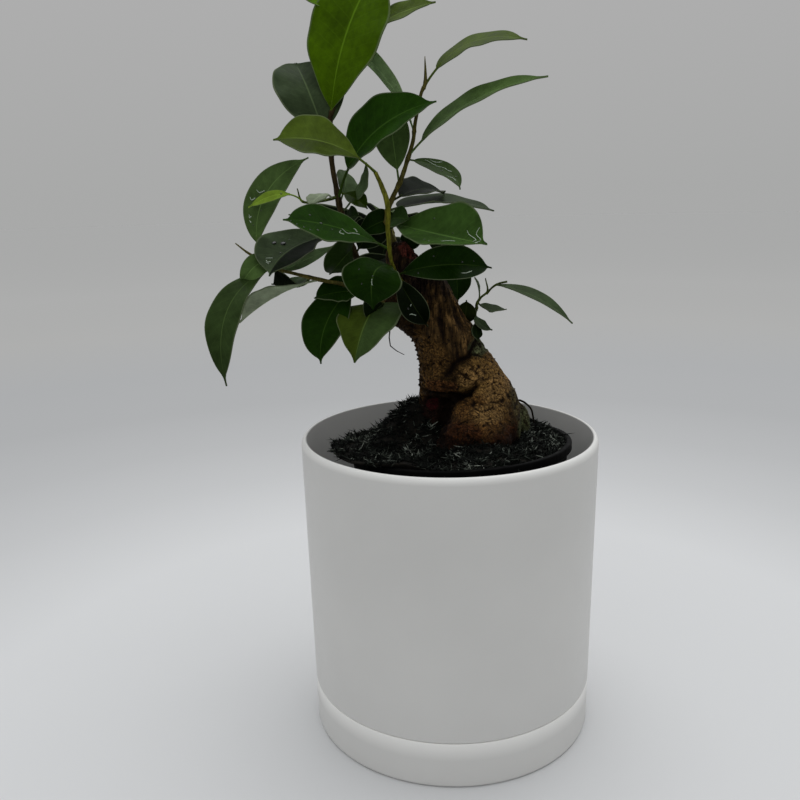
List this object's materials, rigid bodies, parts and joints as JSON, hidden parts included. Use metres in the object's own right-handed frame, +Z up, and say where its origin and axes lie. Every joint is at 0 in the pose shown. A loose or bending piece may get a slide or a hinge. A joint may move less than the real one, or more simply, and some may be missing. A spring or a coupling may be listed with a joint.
{
  "type": "ginseng ficus",
  "caption": "Ginseng ficus with a thick bare trunk and glossy leaves, standing in a round plastic cover pot on its saucer.",
  "frame": {"origin": "middle of the saucer's underside, on the surface it stands on, on the cover pot's axis", "axes": "+Z up along the cover pot's axis, -Y towards the picture's camera, +X to its right"},
  "size_m": [0.1805, 0.1526, 0.3844],
  "materials": {
    "saucer_plastic": "satin, pale warm grey",
    "pot_plastic": "satin, pale warm grey",
    "nursery_plastic": "thin black plastic",
    "dark_soil": "dark potting mix under fine moss",
    "ficus_bark": "brown bark, smoother and paler on the swollen foot",
    "ficus_leaf": "glossy green leaves on brown-green stems"
  },
  "bodies": {
    "root": {"saucer": "saucer_plastic", "cover_pot": "pot_plastic", "nursery_pot": "nursery_plastic", "soil": "dark_soil", "trunk": "ficus_bark", "leafy_stem_left": "ficus_leaf", "leafy_stem_low_left": "ficus_leaf", "leafy_stem_right": "ficus_leaf", "leafy_stem_front": "ficus_leaf", "trunk_sprout": "ficus_leaf", "leafy_stem_back_left": "ficus_leaf", "leafy_stem_back_right": "ficus_leaf"}
  },
  "joints": []
}
